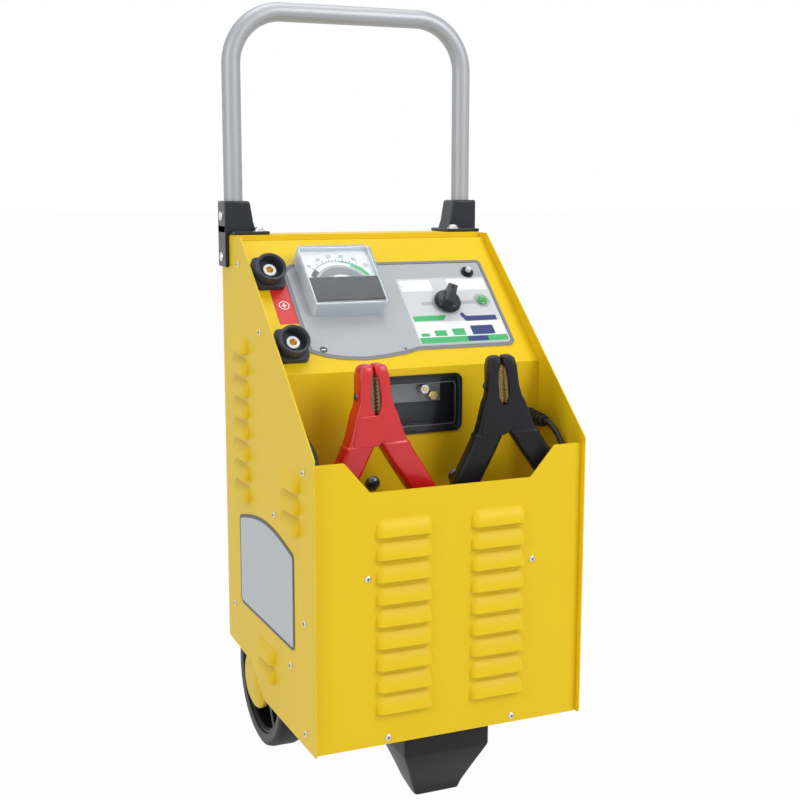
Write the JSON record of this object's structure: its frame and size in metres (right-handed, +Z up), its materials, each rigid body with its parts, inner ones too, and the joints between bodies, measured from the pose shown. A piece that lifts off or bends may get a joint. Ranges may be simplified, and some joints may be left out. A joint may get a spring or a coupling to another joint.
{
  "type": "car battery charger",
  "caption": "Wheeled workshop battery charger: louvred sheet-metal body with front bin, sloping panel with ammeter and knob, tube handle, wheels, foot and a pair of clamps on leads.",
  "frame": {"origin": "centre of the overall bounding box, on the floor", "axes": "+Z up, -Y towards the front with the bin, +X to the right as seen from the front"},
  "size_m": [0.376, 0.375, 1.003],
  "materials": {
    "aluminium": "satin",
    "black_plastic": "satin",
    "black_rubber": "matt",
    "brass": "satin",
    "clear": "clear",
    "copper": "satin",
    "green_lens": "gloss",
    "handle_steel": "polished",
    "iron": "matt",
    "red_plastic": "gloss",
    "steel": "satin",
    "tyre": "matt",
    "white_plate": "gloss",
    "yellow_paint": "gloss"
  },
  "bodies": {
    "charger": {"left_side_panel": "yellow_paint", "right_side_panel": "yellow_paint", "front_panel": "yellow_paint", "control_panel": "yellow_paint", "bin_floor": "yellow_paint", "back_panel": "yellow_paint", "base_tray": "yellow_paint", "axle_hangers": "yellow_paint", "panel_screws": "steel", "handle_tube": "handle_steel", "left_handle_bracket": "black_plastic", "right_handle_bracket": "black_plastic", "handle_screws": "steel", "axle": "steel", "front_foot": "black_plastic", "foot_bolts": "steel", "meter_case": "black_plastic", "meter_dial": "white_plate", "meter_window": "clear", "meter_mask": "black_plastic", "fascia_plate": "white_plate", "selector_switch": "black_plastic", "breaker_body": "black_plastic", "pilot_lamp": "green_lens", "upper_socket": "black_plastic", "lower_socket": "black_plastic", "socket_contacts": "brass", "fuse_frame": "black_plastic", "fuse_cover": "clear", "fuse_strip": "steel", "fuse_studs": "brass", "left_gland": "black_rubber", "right_gland": "black_rubber", "mains_gland": "black_rubber", "wall_bolts": "black_plastic", "transformer_core": "iron", "transformer_windings": "copper", "rectifier": "aluminium", "left_lead": "black_rubber", "left_lead_coil": "black_rubber", "right_lead": "black_rubber", "right_lead_coil": "black_rubber", "red_fixed_lever": "red_plastic", "black_fixed_lever": "black_plastic", "fixed_contacts": "copper", "clamp_pins": "steel", "clamp_springs": "steel"},
    "left_wheel": {"left_rim": "black_plastic", "left_tyre": "tyre", "left_hub_cap": "yellow_paint"},
    "right_wheel": {"right_rim": "black_plastic", "right_tyre": "tyre", "right_hub_cap": "yellow_paint"},
    "selector": {"selector_knob": "black_plastic"},
    "button": {"breaker_button": "black_plastic"},
    "needle": {"meter_needle": "black_plastic"},
    "red_clamp_lever": {"red_moving_lever": "red_plastic", "red_moving_contact": "copper"},
    "black_clamp_lever": {"black_moving_lever": "black_plastic", "black_moving_contact": "copper"}
  },
  "joints": [
    {"name": "left_wheel_turn", "type": "hinge", "parent": "charger", "child": "left_wheel", "pos_m": [-0.141, 0.0925, 0.095], "axis": [1, 0, 0], "continuous": true},
    {"name": "right_wheel_turn", "type": "hinge", "parent": "charger", "child": "right_wheel", "pos_m": [0.141, 0.0925, 0.095], "axis": [1, 0, 0], "continuous": true},
    {"name": "selector_turn", "type": "hinge", "parent": "charger", "child": "selector", "pos_m": [0.08, 0.0027, 0.61385], "axis": [0, -0.6858, 0.7278], "range_deg": [-60, 60]},
    {"name": "breaker_press", "type": "slide", "parent": "charger", "child": "button", "axis": [0, 0.6858, -0.7278], "range_m": [0, 0.003], "stiffness_N_per_m": 300, "springref_m": -0.003},
    {"name": "needle_swing", "type": "hinge", "parent": "charger", "child": "needle", "pos_m": [-0.063, 0.01799, 0.62825], "axis": [0, 0.6858, -0.7278], "range_deg": [0, 128], "stiffness_Nm_per_rad": 0.001, "springref_deg": -11.46},
    {"name": "red_clamp_open", "type": "hinge", "parent": "charger", "child": "red_clamp_lever", "pos_m": [-0.083, -0.1345, 0.4706], "axis": [0, 1, 0], "range_deg": [0, 30], "stiffness_Nm_per_rad": 1.2, "springref_deg": -34.38},
    {"name": "black_clamp_open", "type": "hinge", "parent": "charger", "child": "black_clamp_lever", "pos_m": [0.093, -0.1345, 0.4723], "axis": [0.2588, 0.9659, 0], "range_deg": [0, 30], "stiffness_Nm_per_rad": 1.2, "springref_deg": -34.38}
  ]
}
